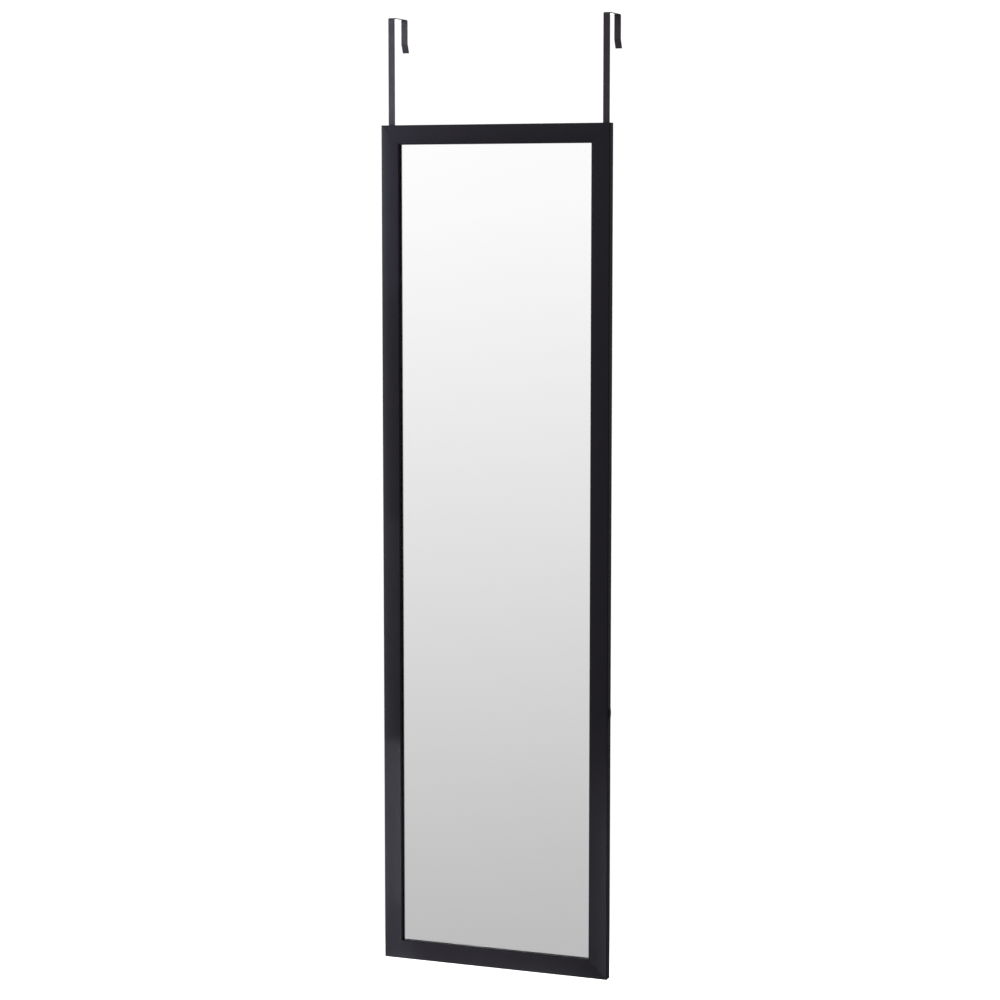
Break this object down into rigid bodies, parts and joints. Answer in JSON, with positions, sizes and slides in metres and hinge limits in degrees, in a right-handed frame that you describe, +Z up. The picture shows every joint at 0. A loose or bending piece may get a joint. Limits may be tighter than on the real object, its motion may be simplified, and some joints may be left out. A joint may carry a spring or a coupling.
{
  "type": "over the door mirror",
  "caption": "Tall mirror in a slim black moulded frame, hung from a door's top edge by flat steel hooks that slide behind the stiles to set its height.",
  "frame": {"origin": "on the front top edge of the door, midway between the two hooks, where the hooks' bridges rest on the door", "axes": "+Z up, along the height of the mirror; +Y through the door, away from the mirror's face; +X along the door, to the right of someone who looks into the mirror"},
  "size_m": [0.364, 0.072, 1.4355],
  "materials": {
    "black_moulding": "satin",
    "bright_steel": "satin",
    "clear_glass": "polished",
    "silvering": "polished",
    "corrugated_card": "matte",
    "hardboard": "matte",
    "plug_plastic": "satin",
    "bumper_rubber": "matte",
    "painted_strap": "satin"
  },
  "bodies": {
    "hooks": {"hook_left": "painted_strap", "hook_right": "painted_strap"},
    "mirror": {"frame_stile_left": "black_moulding", "frame_stile_right": "black_moulding", "frame_rail_top": "black_moulding", "frame_rail_bottom": "black_moulding", "corner_v_nails": "bright_steel", "mirror_glass": "clear_glass", "mirror_silvering": "silvering", "cushion_sheet": "corrugated_card", "back_board": "hardboard", "board_points": "bright_steel", "side_plug_left": "plug_plastic", "side_plug_right": "plug_plastic", "door_bumper_left": "bumper_rubber", "door_bumper_right": "bumper_rubber", "hook_screws_left": "bright_steel", "hook_screws_right": "bright_steel", "hook_washers_left": "bright_steel", "hook_washers_right": "bright_steel"}
  },
  "joints": [
    {"name": "hanging_height", "type": "slide", "parent": "hooks", "child": "mirror", "axis": [0, 0, 1], "range_m": [-0.02, 0.02]}
  ]
}
